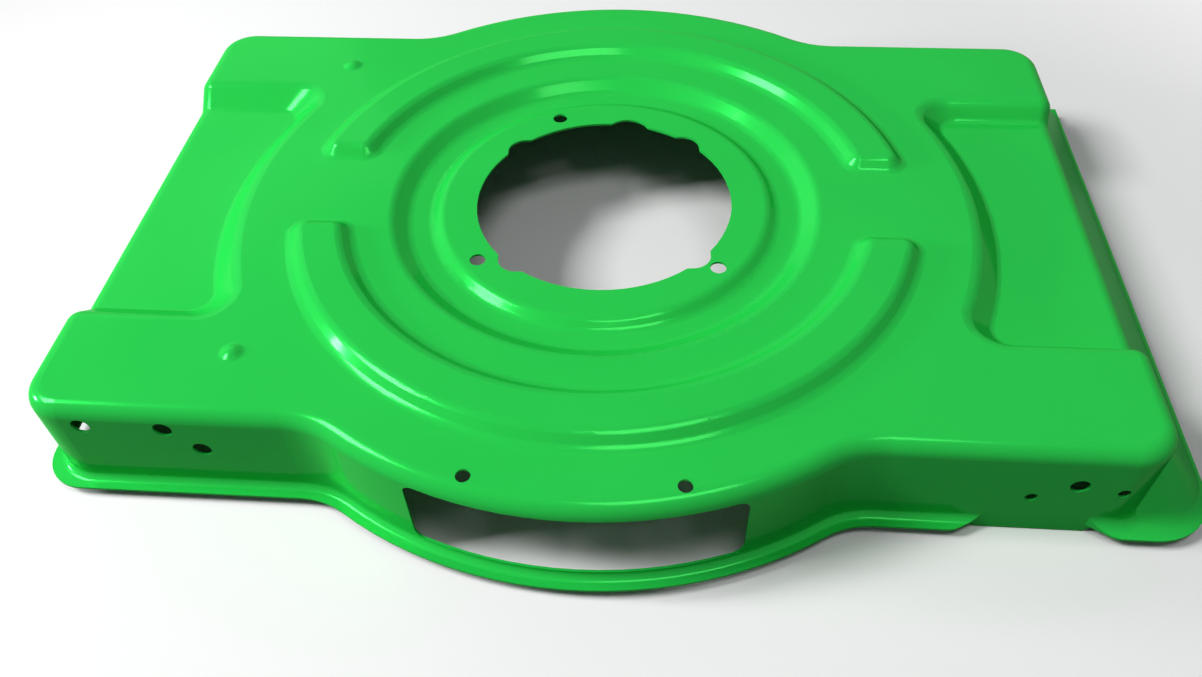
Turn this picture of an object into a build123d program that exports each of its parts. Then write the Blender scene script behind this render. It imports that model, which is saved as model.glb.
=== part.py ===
"""Pressed steel deck of a rotary lawn mower, in millimetres.

The origin is the centre of the motor opening, on the motor seat's top face. +Z is up, +X points to the end
with the sloped apron, and the discharge window is on the -Y side.
"""
import os
from math import atan2, cos, hypot, tan

from build123d import *

# Sheet and walls
sheet = 1.5
half_length = 327.0
half_width = 200.0
bulge_r = 251.0
bulge_blend_r = 58.0
wall_corner_r = 25.0
deck_height = 68.0
top_edge_r = 10.0

# Lip turned outward along the bottom rim
lip_reach = 8.5
lip_corner_r = 27.0
lip_bend_r = 5.0

# Stretch of each long wall where the lip hangs straight down as a tab
tab_end_inset = 35.0
tab_length = 61.0
tab_drop = 6.5
tab_run_out = 15.0
tab_end_x = half_length - tab_end_inset
tab_start_x = tab_end_x - tab_length

# Motor seat and the groove around it, as radii and drops below the plateau
seat_drop = 3.0
seat_r = 111.0
seat_side_run = 7.0
groove_drop = 8.0
groove_width = 15.0
groove_side_run = 11.0
ring_edge_r = 8.0
groove_inner_r = seat_r + seat_side_run
groove_outer_r = groove_inner_r + groove_width
groove_top_r = groove_outer_r + groove_side_run

# Two raised arc bands, cut off straight on both sides of the middle line
band_rise = 7.0
band_inner_foot_r = 170.0
band_width = 41.5
band_side_run = 8.0
band_gap_half_width = 42.0
band_end_run = 8.0
band_corner_r = 12.0
band_edge_r = 7.0
band_outer_foot_r = band_inner_foot_r + band_width

# Lowered shelves open to both ends, with a curved inner wall
shelf_drop = 13.5
shelf_arc_r = 246.0
shelf_arc_run = 16.0
left_shelf_half_width = 124.0
left_shelf_side_run = 16.0
right_shelf_half_width = 122.0
right_shelf_side_run = 8.0
shelf_top_corner_r = 20.0
shelf_floor_corner_r = 14.0
shelf_edge_r = 11.0
shelf_foot_r = 5.0

# Sloped apron on the +X end, from the shelf's rounded edge down to the rim, and the lip along its sides.
# Its corner on the window's side is rounder than the other one.
apron_top_drop = shelf_drop + top_edge_r
apron_reach = 40.0
apron_length = 60.0
apron_top_side_inset = 25.5
apron_top_corner_r = 8.0
apron_foot_side_inset = 3.5
apron_foot_corner_r = 30.0
apron_far_corner_r = 12.0
foot_lip_reach = 13.0
foot_lip_corner_r = 38.0
foot_lip_far_corner_r = 16.0
foot_bend_r = 8.0
apron_top_half_width = half_width - apron_top_side_inset
apron_foot_half_width = half_width - apron_foot_side_inset

# Motor opening: a circle, a turned square with rounded corners and one extra notch
opening_r = 86.8
square_half_side = 68.8
square_corner_r = 12.0
square_turn = 4.2
notch_r = 16.0
notch_reach = 93.0
notch_angle = 81.0

# Motor bolt holes
bolt_hole_r = 5.2
bolt_pair_half_spacing = 77.5
bolt_pair_y = -63.0
third_bolt_circle_r = 100.0
third_bolt_angle = 113.0

# Discharge window in the bulge wall, and the two guard holes above it
window_half_width = 94.0
window_top_drop = 9.3
window_sill = 6.7
window_corner_r = 7.0
guard_hole_r = 4.2
guard_hole_half_spacing = 59.0
guard_hole_inset = 19.5
window_bottom_drop = deck_height - window_sill
guard_hole_y = guard_hole_inset - bulge_r

# Wheel bracket holes in both long walls: distance from the end, drop below the plateau, radius.
# On the +Y wall they stand a little further from the ends.
wheel_hole_r = 5.6
left_wheel_holes = [(37.0, 15.0, wheel_hole_r), (86.0, 15.0, wheel_hole_r), (104.0, 32.5, wheel_hole_r)]
right_wheel_holes = [(73.0, 42.3, 3.5), (50.0, 29.8, 5.4), (24.5, 35.1, 3.5)]
far_wheel_shift = 8.0

# Two small domed bosses near the -X end
boss_r = 6.6
boss_rise = 2.5
boss_foot_r = 4.0
boss_end_inset = 116.0
boss_side_inset = 48.0
boss_x = boss_end_inset - half_length
boss_half_spacing = half_width - boss_side_inset

# Levels, with the motor seat at zero
plateau_z = seat_drop
rim_z = plateau_z - deck_height
tab_z = rim_z - tab_drop

# How far cuts run past the sheet, how far blocks reach into each other, and how exactly edges are picked
past = 10.0
overlap = 1.0
near = 0.01


def corner_shift(inset, rise, run):
    """Sideways shift of a slope's ends when the sheet's lower face is set below its upper face."""
    return inset * tan(atan2(rise, run) / 2)


def plan(inset, corner_r):
    """Outline of the walls from above: a rounded box with a round bulge on both long sides."""
    with BuildSketch() as outline:
        RectangleRounded(2 * (half_length - inset), 2 * (half_width - inset), corner_r)
        Circle(bulge_r - inset)
        joins = [v for v in outline.vertices() if abs(v.X) < bulge_r]
        fillet(joins, bulge_blend_r + inset)
    return outline.sketch


def walls(inset, bottom_z):
    """Upright walls, plateau and end shelves, with the whole upper edge rounded."""
    top = plateau_z - inset
    floor = top - shelf_drop
    outline = plan(inset, wall_corner_r - inset)
    wall_line = outline.faces()[0].outer_wire()
    with BuildPart() as body:
        with BuildSketch(Plane.XY.offset(bottom_z)):
            add(outline)
        extrude(amount=top - bottom_z)
        add(shelf(inset, -1, left_shelf_half_width, left_shelf_side_run), mode=Mode.SUBTRACT)
        add(shelf(inset, 1, right_shelf_half_width, right_shelf_side_run), mode=Mode.SUBTRACT)
        level = at_level(body, top)
        fillet([e for e in level if not on_line(e @ 0.5, wall_line)], shelf_edge_r - inset)
        upper = [e for e in body.edges() if (e @ 0.5).Z > floor - near]
        fillet([e for e in upper if on_line(e @ 0.5, wall_line)], top_edge_r - inset)
    return body.part


def at_level(body, z):
    """Edges of a body that lie at one height."""
    return body.edges().filter_by_position(Axis.Z, z - near, z + near)


def on_line(point, line):
    """True if a point lies on an outline, seen from above."""
    return Vertex(point.X, point.Y, 0).distance_to(line) < near


def apron_section(inset, fraction):
    """Outline of the apron at a fraction of the way from its top to its foot."""
    end_x = half_length + fraction * apron_reach - inset
    half = apron_top_half_width + fraction * (apron_foot_half_width - apron_top_half_width) - inset
    near_r = apron_top_corner_r + fraction * (apron_foot_corner_r - apron_top_corner_r) - inset
    far_r = apron_top_corner_r + fraction * (apron_far_corner_r - apron_top_corner_r) - inset
    return apron_outline(end_x, half, near_r, far_r)


def apron_outline(end_x, half, near_r, far_r):
    """Box from inside the deck to the apron's end, with its two outer corners rounded."""
    start_x = half_length - apron_length
    with BuildSketch() as outline:
        with Locations(((start_x + end_x) / 2, 0)):
            Rectangle(end_x - start_x, 2 * half)
        near_corner, far_corner = outline.vertices().group_by(Axis.X)[-1].sort_by(Axis.Y)
        fillet(near_corner, near_r)
        fillet(far_corner, far_r)
    return outline.sketch


def apron(inset, overrun):
    """Sloped end: it leaves the end wall below the shelf and widens down to the rim."""
    height = deck_height - apron_top_drop
    side_inset = inset / cos(atan2(apron_reach, height))
    with BuildPart() as body:
        for drop in (-overlap, height + overrun):
            with BuildSketch(Plane.XY.offset(plateau_z - apron_top_drop - drop)):
                add(apron_section(side_inset, drop / height))
        loft(ruled=True)
    return body.part


def shelf_section(inset, depth, end, half_width_top, side_run):
    """Outline of one end's recess at a depth below the plateau; end is -1 or 1 along X."""
    fraction = depth / shelf_drop
    arc = shelf_arc_r + fraction * shelf_arc_run - corner_shift(inset, shelf_drop, shelf_arc_run)
    half = half_width_top - fraction * side_run + corner_shift(inset, shelf_drop, side_run)
    corner = shelf_top_corner_r + fraction * (shelf_floor_corner_r - shelf_top_corner_r)
    length = half_length + past
    with BuildSketch() as outline:
        with Locations((end * length / 2, 0)):
            Rectangle(length, 2 * half)
        Circle(arc, mode=Mode.SUBTRACT)
        inner = [v for v in outline.vertices() if abs(v.X) < half_length]
        fillet(inner, corner)
    return outline.sketch


def shelf(inset, end, half_width_top, side_run):
    """Space above one lowered shelf, with the foot of its sloped walls rounded."""
    floor_z = plateau_z - inset - shelf_drop
    with BuildPart() as space:
        for depth in (-overlap, shelf_drop):
            with BuildSketch(Plane.XY.offset(plateau_z - inset - depth)):
                add(shelf_section(inset, depth, end, half_width_top, side_run))
        loft(ruled=True)
        fillet(at_level(space, floor_z), shelf_foot_r + inset)
    return space.part


def seat_space(inset):
    """Space above the motor seat and the groove around it."""
    top = plateau_z - inset
    inner = corner_shift(inset, groove_drop - seat_drop, seat_side_run)
    outer = corner_shift(inset, groove_drop, groove_side_run)
    end_r = groove_top_r + past
    soft = ring_edge_r + inset
    crisp = ring_edge_r - inset
    with BuildPart() as space:
        with BuildSketch(Plane.XZ):
            with BuildLine():
                FilletPolyline(
                    (0, top - seat_drop),
                    (seat_r - inner, top - seat_drop),
                    (groove_inner_r - inner, top - groove_drop),
                    (groove_outer_r + outer, top - groove_drop),
                    (groove_top_r + outer, top),
                    (end_r, top),
                    radius=[crisp, soft, soft, crisp],
                )
                Polyline((end_r, top), (end_r, top + past), (0, top + past), (0, top - seat_drop))
            make_face()
        revolve(axis=Axis.Z)
    return space.part


def band_section(inset, height):
    """Outline of the +Y band at a height above the plateau."""
    fraction = height / band_rise
    side = fraction * band_side_run + corner_shift(inset, band_rise, band_side_run)
    end = (fraction - 1) * band_end_run + corner_shift(inset, band_rise, band_end_run)
    with BuildSketch() as outline:
        Circle(band_outer_foot_r - side)
        Circle(band_inner_foot_r + side, mode=Mode.SUBTRACT)
        with Locations((0, band_gap_half_width + end)):
            Rectangle(
                3 * band_outer_foot_r,
                band_outer_foot_r,
                align=(Align.CENTER, Align.MIN),
                mode=Mode.INTERSECT,
            )
        fillet(outline.vertices(), band_corner_r - fraction * band_side_run)
    return outline.sketch


def bands(inset):
    """Two raised arcs with sloped sides and ends, rounded along their tops."""
    base = plateau_z - inset
    top = base + band_rise
    with BuildPart() as pair:
        for height in (-overlap, band_rise):
            with BuildSketch(Plane.XY.offset(base + height)):
                add(band_section(inset, height))
        loft(ruled=True)
        fillet(at_level(pair, top), band_edge_r - inset)
        mirror(about=Plane.XZ)
    return pair.part


def bosses(inset):
    """Two balls whose tops stand out of the plateau as small domes."""
    dome_r = (boss_r**2 + boss_rise**2) / (2 * boss_rise)
    centre_z = plateau_z + boss_rise - dome_r
    with BuildPart() as pair:
        with Locations((boss_x, -boss_half_spacing, centre_z), (boss_x, boss_half_spacing, centre_z)):
            Sphere(dome_r - inset)
    return pair.part


def form(inset, bottom_z, overrun):
    """Whole deck as a solid block, set in from the outside of the sheet by the inset."""
    top = plateau_z - inset
    with BuildPart() as block:
        add(walls(inset, bottom_z))
        add(apron(inset, overrun))
        add(seat_space(inset), mode=Mode.SUBTRACT)
        add(bands(inset))
        level = at_level(block, top)
        fillet([e for e in level if on_band_foot(e @ 0.5)], band_edge_r + inset)
        add(bosses(inset))
        level = at_level(block, top)
        fillet([e for e in level if on_boss_foot(e @ 0.5)], boss_foot_r + inset)
    return block.part


def on_band_foot(point):
    """True on the foot line of a raised band."""
    return band_inner_foot_r - overlap < hypot(point.X, point.Y) < band_outer_foot_r + overlap


def on_boss_foot(point):
    """True on the foot line of a boss."""
    return hypot(point.X - boss_x, abs(point.Y) - boss_half_spacing) < boss_r + overlap


def run_out_corners(outline, x):
    """Corners where a lip begins to narrow towards a tab, at one place along X."""
    return [v for v in outline.vertices() if abs(v.X - x) < overlap and abs(v.Y) > half_width + overlap]


def lip():
    """Flat lip around the rim, running out where the tabs start."""
    slant_x = 2 * tab_run_out
    slant_y = half_width + 2 * lip_reach
    with BuildPart() as plate:
        with BuildSketch(Plane.XY.offset(rim_z)) as outline:
            add(plan(-lip_reach, lip_corner_r))
            for way in (-1, 1):
                with BuildLine():
                    Polyline(
                        (tab_start_x, 0),
                        (tab_start_x, way * half_width),
                        (tab_start_x - slant_x, way * slant_y),
                        (half_length + slant_x, way * slant_y),
                        (half_length + slant_x, 0),
                        close=True,
                    )
                make_face(mode=Mode.SUBTRACT)
            fillet(run_out_corners(outline, tab_start_x - tab_run_out), tab_run_out)
        extrude(amount=sheet)
    return plate.part


def foot_lip_outline():
    """Outline of the lip along the apron's sides and corners, running out where the tabs end."""
    half = apron_foot_half_width + foot_lip_reach
    slant_x = 2 * tab_run_out
    slant_y = half_width + 2 * (half - half_width)
    with BuildSketch() as outline:
        add(apron_outline(half_length + apron_reach, half, foot_lip_corner_r, foot_lip_far_corner_r))
        for way in (-1, 1):
            with BuildLine():
                Polyline(
                    (tab_end_x, 0),
                    (tab_end_x, way * half_width),
                    (tab_end_x + slant_x, way * slant_y),
                    (0, way * slant_y),
                    (0, 0),
                    close=True,
                )
            make_face(mode=Mode.SUBTRACT)
        fillet(run_out_corners(outline, tab_end_x + tab_run_out), tab_run_out)
    return outline.sketch


def tabs():
    """Stretch of both long walls below the rim, where the lip isn't turned out."""
    with BuildPart() as pair:
        for outer_face in (half_width, sheet - half_width):
            with BuildSketch(Plane.XZ.offset(outer_face)):
                with BuildLine():
                    Polyline(
                        (tab_start_x - tab_run_out, rim_z + overlap),
                        (tab_start_x, tab_z),
                        (tab_end_x, tab_z),
                        (tab_end_x + tab_run_out / 2, rim_z + overlap),
                        close=True,
                    )
                make_face()
            extrude(amount=-sheet)
    return pair.part


def outside():
    """Outer face of the deck as a solid block, with the bends of its lips rounded.

    The foot lip starts wider than it ends, so that its bend runs all the way, and is then trimmed.
    """
    lip_top = rim_z + sheet
    wide_x = half_length + apron_reach + foot_lip_reach
    wide_y = apron_foot_half_width + foot_lip_reach
    wall_line = plan(0, wall_corner_r).faces()[0].outer_wire()
    apron_line = apron_section(0, 1 - sheet / (deck_height - apron_top_drop)).faces()[0].outer_wire()
    with BuildPart() as block:
        add(form(0, rim_z, 0))
        add(lip())
        level = at_level(block, lip_top)
        fillet([e for e in level if (e @ 0.5).X < tab_start_x and on_line(e @ 0.5, wall_line)], lip_bend_r)
        with BuildSketch(Plane.XY.offset(rim_z)):
            add(apron_outline(wide_x, wide_y, foot_lip_corner_r, foot_lip_far_corner_r))
        extrude(amount=sheet)
        level = at_level(block, lip_top)
        foot = [e for e in level if on_line(e @ 0.5, apron_line)]
        foot += [e for e in level if (e @ 0.5).X > tab_start_x and on_line(e @ 0.5, wall_line)]
        fillet(foot, foot_bend_r)
        with BuildSketch(Plane.XY.offset(rim_z)):
            with Locations((half_length, 0)):
                Rectangle(2 * apron_length, 2 * (wide_y + past))
            add(foot_lip_outline(), mode=Mode.SUBTRACT)
            add(plan(0, wall_corner_r), mode=Mode.SUBTRACT)
            add(apron_section(0, 1), mode=Mode.SUBTRACT)
        extrude(amount=sheet + foot_bend_r + overlap, mode=Mode.SUBTRACT)
    return block.part


def rim_space():
    """Space below the rim, flaring out of the walls where the sheet bends into the lip."""
    inner = plan(sheet, wall_corner_r - sheet)
    inner_line = inner.faces()[0].outer_wire()
    with BuildPart() as space:
        with BuildSketch(Plane.XY.offset(rim_z - past)):
            Rectangle(2 * (half_length + lip_reach + past), 2 * (bulge_r + lip_reach + past))
        extrude(amount=past)
        with BuildSketch(Plane.XY.offset(rim_z)):
            add(inner)
        extrude(amount=lip_bend_r + sheet + overlap)
        level = at_level(space, rim_z)
        fillet([e for e in level if on_line(e @ 0.5, inner_line)], lip_bend_r + sheet)
        split(bisect_by=Plane.YZ.offset(tab_start_x - tab_run_out), keep=Keep.BOTTOM)
    return space.part


def opening():
    """Outline of the motor opening."""
    with BuildSketch() as outline:
        Circle(opening_r)
        with Locations(Location((0, 0, 0), (0, 0, square_turn))):
            RectangleRounded(2 * square_half_side, 2 * square_half_side, square_corner_r)
        with PolarLocations(notch_reach - notch_r, 1, start_angle=notch_angle):
            Circle(notch_r)
    return outline.sketch


with BuildPart() as deck:
    add(outside())
    add(form(sheet, rim_z - past, past), mode=Mode.SUBTRACT)
    add(rim_space(), mode=Mode.SUBTRACT)
    add(tabs())

    # Motor opening, motor bolt holes and guard holes, pierced from above
    with BuildSketch(Plane.XY.offset(plateau_z + overlap)):
        add(opening())
        with Locations((-bolt_pair_half_spacing, bolt_pair_y), (bolt_pair_half_spacing, bolt_pair_y)):
            Circle(bolt_hole_r)
        with PolarLocations(third_bolt_circle_r, 1, start_angle=third_bolt_angle):
            Circle(bolt_hole_r)
        with Locations((-guard_hole_half_spacing, guard_hole_y), (guard_hole_half_spacing, guard_hole_y)):
            Circle(guard_hole_r)
    extrude(amount=-past, mode=Mode.SUBTRACT)

    # Discharge window in the bulge wall on the -Y side
    with BuildSketch(Plane.XZ.offset(half_width)):
        with Locations((0, plateau_z - (window_top_drop + window_bottom_drop) / 2)):
            RectangleRounded(2 * window_half_width, window_bottom_drop - window_top_drop, window_corner_r)
    extrude(amount=bulge_r - half_width + past, mode=Mode.SUBTRACT)

    # Wheel bracket holes in both long walls
    for wall_y, shift in ((-half_width, 0), (half_width, far_wheel_shift)):
        with BuildSketch(Plane.XZ.offset(-wall_y - past)):
            for end, holes in ((-1, left_wheel_holes), (1, right_wheel_holes)):
                for from_end, drop, radius in holes:
                    with Locations((end * (half_length - from_end - shift), plateau_z - drop)):
                        Circle(radius)
        extrude(amount=2 * past, mode=Mode.SUBTRACT)

os.makedirs("parts", exist_ok=True)
deck.part.label = "deck"
export_step(deck.part, "parts/deck.step")
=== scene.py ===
"""Glossy green pressed steel deck of a lawn mower on a pale floor, seen from above one long side."""
import math

import bpy
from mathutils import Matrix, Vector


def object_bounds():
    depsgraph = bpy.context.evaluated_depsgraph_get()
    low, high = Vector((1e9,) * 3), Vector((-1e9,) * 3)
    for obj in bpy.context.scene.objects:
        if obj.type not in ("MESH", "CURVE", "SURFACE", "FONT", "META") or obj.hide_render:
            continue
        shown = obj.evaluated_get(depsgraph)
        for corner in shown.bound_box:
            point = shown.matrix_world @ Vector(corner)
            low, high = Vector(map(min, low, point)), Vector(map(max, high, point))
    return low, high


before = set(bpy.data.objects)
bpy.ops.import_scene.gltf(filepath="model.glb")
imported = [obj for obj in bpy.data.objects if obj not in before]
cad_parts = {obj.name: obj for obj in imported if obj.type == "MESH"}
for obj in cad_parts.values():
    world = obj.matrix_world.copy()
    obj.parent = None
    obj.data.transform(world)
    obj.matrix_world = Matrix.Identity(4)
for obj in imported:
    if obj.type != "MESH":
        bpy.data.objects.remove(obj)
cad_low, cad_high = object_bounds()

# Camera, in metres and degrees, with the lens and the sensor's long side in millimetres
CAMERA_PLACE = (0.0463, -0.5259, 0.4436)
CAMERA_TURN = (42.05, 1.37, 4.10)
CAMERA_LENS = 29.93
SENSOR_WIDTH = 36.0

# Colours as linear light
GREEN = (0.022, 0.62, 0.080, 1.0)
DEEP_GREEN = (0.016, 0.56, 0.068, 1.0)
GLOSS_TINT = (0.06, 1.0, 0.20, 1.0)
FLOOR_WHITE = (0.92, 0.92, 0.92, 1.0)
FLOOR_BOUNCE = (0.07, 0.08, 0.07, 1.0)
SKY = (0.92, 0.96, 1.0, 1.0)
BACKGROUND = (1.0, 1.0, 1.0, 1.0)

# Paint: the same all over, each set on the shader's own socket
PAINT = {
    "Roughness": 0.18,
    "Metallic": 0.12,
    "Specular IOR Level": 0.0,
    "Specular Tint": GLOSS_TINT,
    "Coat Weight": 0.14,
    "Coat Roughness": 0.09,
}
DRIFT_SCALE = 9.0
PEEL_SCALE = 420.0
PEEL_STRENGTH = 0.05
PEEL_HEIGHT = 0.0004

# Light: the sky's strength on the deck, and the plain background's as it is seen
SKY_STRENGTH = 0.08
BACKGROUND_STRENGTH = 0.93

# Lamps, all turned towards the deck's middle: place and size in metres, power in watts
LAMPS = {
    "key": ((-3.6, -0.35, 3.6), (1.6, 1.6), 218.0),
    "window": ((-1.55, -0.20, 0.36), (0.20, 0.22), 10.0),
    "backdrop": ((-1.6, 1.7, 1.1), (1.6, 1.2), 4.0),
    "ceiling": ((0.3, -0.55, 1.72), (0.8, 0.5), 7.0),
}

# Floor, in metres: it reaches past every view and fades to the plain background around the deck
FLOOR_REACH = 8.0
FLOOR_GAP = 0.0005
FLOOR_ROUGHNESS = 0.9
FADE_START = 0.42
FADE_END = 0.85


def node(tree, kind, **inputs):
    """Adds a shader node and sets its sockets by name."""
    made = tree.nodes.new(kind)
    for name, value in inputs.items():
        made.inputs[name.replace("_", " ")].default_value = value
    return made


def new_material(name):
    """An empty node material with its Principled shader."""
    material = bpy.data.materials.new(name)
    material.use_nodes = True
    return material, material.node_tree, material.node_tree.nodes["Principled BSDF"]


def blend_colours(tree, first, second):
    """A node that blends two colours."""
    blend = node(tree, "ShaderNodeMix")
    blend.data_type = "RGBA"
    blend.inputs["A"].default_value = first
    blend.inputs["B"].default_value = second
    return blend


def math_node(tree, operation):
    """A node for one sum."""
    made = node(tree, "ShaderNodeMath")
    made.operation = operation
    return made


def paint():
    """Gloss coat with faint drifts of tone and a fine orange peel."""
    material, tree, shader = new_material("deck_paint")
    place = node(tree, "ShaderNodeTexCoord")
    drift = node(tree, "ShaderNodeTexNoise", Scale=DRIFT_SCALE, Detail=2.0)
    tone = blend_colours(tree, DEEP_GREEN, GREEN)
    peel = node(tree, "ShaderNodeTexNoise", Scale=PEEL_SCALE, Detail=1.0)
    bump = node(tree, "ShaderNodeBump", Strength=PEEL_STRENGTH, Distance=PEEL_HEIGHT)
    links = tree.links
    links.new(place.outputs["Object"], drift.inputs["Vector"])
    links.new(place.outputs["Object"], peel.inputs["Vector"])
    links.new(drift.outputs["Fac"], tone.inputs["Factor"])
    links.new(tone.outputs["Result"], shader.inputs["Base Color"])
    links.new(peel.outputs["Fac"], bump.inputs["Height"])
    links.new(bump.outputs["Normal"], shader.inputs["Normal"])
    for socket, value in PAINT.items():
        shader.inputs[socket].default_value = value
    return material


def seen_directly(tree):
    """One for rays from the camera, mirrors and clear things, nought for scattered light."""
    path = node(tree, "ShaderNodeLightPath")
    camera_or_gloss = math_node(tree, "MAXIMUM")
    seen = math_node(tree, "MAXIMUM")
    links = tree.links
    links.new(path.outputs["Is Camera Ray"], camera_or_gloss.inputs[0])
    links.new(path.outputs["Is Glossy Ray"], camera_or_gloss.inputs[1])
    links.new(camera_or_gloss.outputs[0], seen.inputs[0])
    links.new(path.outputs["Is Transmission Ray"], seen.inputs[1])
    return seen.outputs[0]


def floor():
    """Pale floor that throws back less light than it seems to and fades to the background."""
    floor_z = cad_low.z - FLOOR_GAP
    bpy.ops.mesh.primitive_plane_add(size=2 * FLOOR_REACH, location=(0, 0, floor_z))
    plane = bpy.context.object
    plane.name = "floor"
    material, tree, shader = new_material("floor_white")
    seen = seen_directly(tree)
    colour = blend_colours(tree, FLOOR_BOUNCE, FLOOR_WHITE)
    place = node(tree, "ShaderNodeTexCoord")
    distance = node(tree, "ShaderNodeVectorMath")
    distance.operation = "LENGTH"
    fade = node(tree, "ShaderNodeMapRange", From_Min=FADE_START, From_Max=FADE_END)
    fade.interpolation_type = "SMOOTHSTEP"
    share = math_node(tree, "MULTIPLY")
    plain = node(tree, "ShaderNodeEmission", Color=BACKGROUND, Strength=BACKGROUND_STRENGTH)
    blend = node(tree, "ShaderNodeMixShader")
    links = tree.links
    links.new(seen, colour.inputs["Factor"])
    links.new(colour.outputs["Result"], shader.inputs["Base Color"])
    links.new(place.outputs["Object"], distance.inputs[0])
    links.new(distance.outputs["Value"], fade.inputs["Value"])
    links.new(fade.outputs["Result"], share.inputs[0])
    links.new(seen, share.inputs[1])
    links.new(share.outputs[0], blend.inputs[0])
    links.new(shader.outputs["BSDF"], blend.inputs[1])
    links.new(plain.outputs["Emission"], blend.inputs[2])
    links.new(blend.outputs["Shader"], tree.nodes["Material Output"].inputs["Surface"])
    shader.inputs["Roughness"].default_value = FLOOR_ROUGHNESS
    plane.data.materials.append(material)


def sky():
    """Dim sky on the deck, seen as the plain background."""
    world = bpy.data.worlds.new("sky")
    bpy.context.scene.world = world
    world.use_nodes = True
    tree = world.node_tree
    dim = node(tree, "ShaderNodeBackground", Color=SKY, Strength=SKY_STRENGTH)
    plain = node(tree, "ShaderNodeBackground", Color=BACKGROUND, Strength=BACKGROUND_STRENGTH)
    blend = node(tree, "ShaderNodeMixShader")
    tree.links.new(seen_directly(tree), blend.inputs[0])
    tree.links.new(dim.outputs["Background"], blend.inputs[1])
    tree.links.new(plain.outputs["Background"], blend.inputs[2])
    tree.links.new(blend.outputs["Shader"], tree.nodes["World Output"].inputs["Surface"])


def area_light(name, place, size, power):
    """A rectangular soft light at a place, turned towards the deck's middle."""
    data = bpy.data.lights.new(name, "AREA")
    data.shape = "RECTANGLE"
    data.size, data.size_y = size
    data.energy = power
    lamp = bpy.data.objects.new(name, data)
    lamp.location = place
    lamp.rotation_euler = Vector(place).to_track_quat("Z", "Y").to_euler()
    bpy.context.scene.collection.objects.link(lamp)


def camera():
    """Camera at the photograph's place and angle."""
    data = bpy.data.cameras.new("camera")
    data.lens = CAMERA_LENS
    data.sensor_fit = "HORIZONTAL"
    data.sensor_width = SENSOR_WIDTH
    eye = bpy.data.objects.new("camera", data)
    eye.location = CAMERA_PLACE
    eye.rotation_euler = [math.radians(turn) for turn in CAMERA_TURN]
    bpy.context.scene.collection.objects.link(eye)
    bpy.context.scene.camera = eye


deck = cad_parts["deck"]
deck.data.materials.clear()
deck.data.materials.append(paint())
floor()
sky()
for name, (place, size, power) in LAMPS.items():
    area_light(name, place, size, power)
camera()
bpy.context.scene.view_settings.view_transform = "Standard"
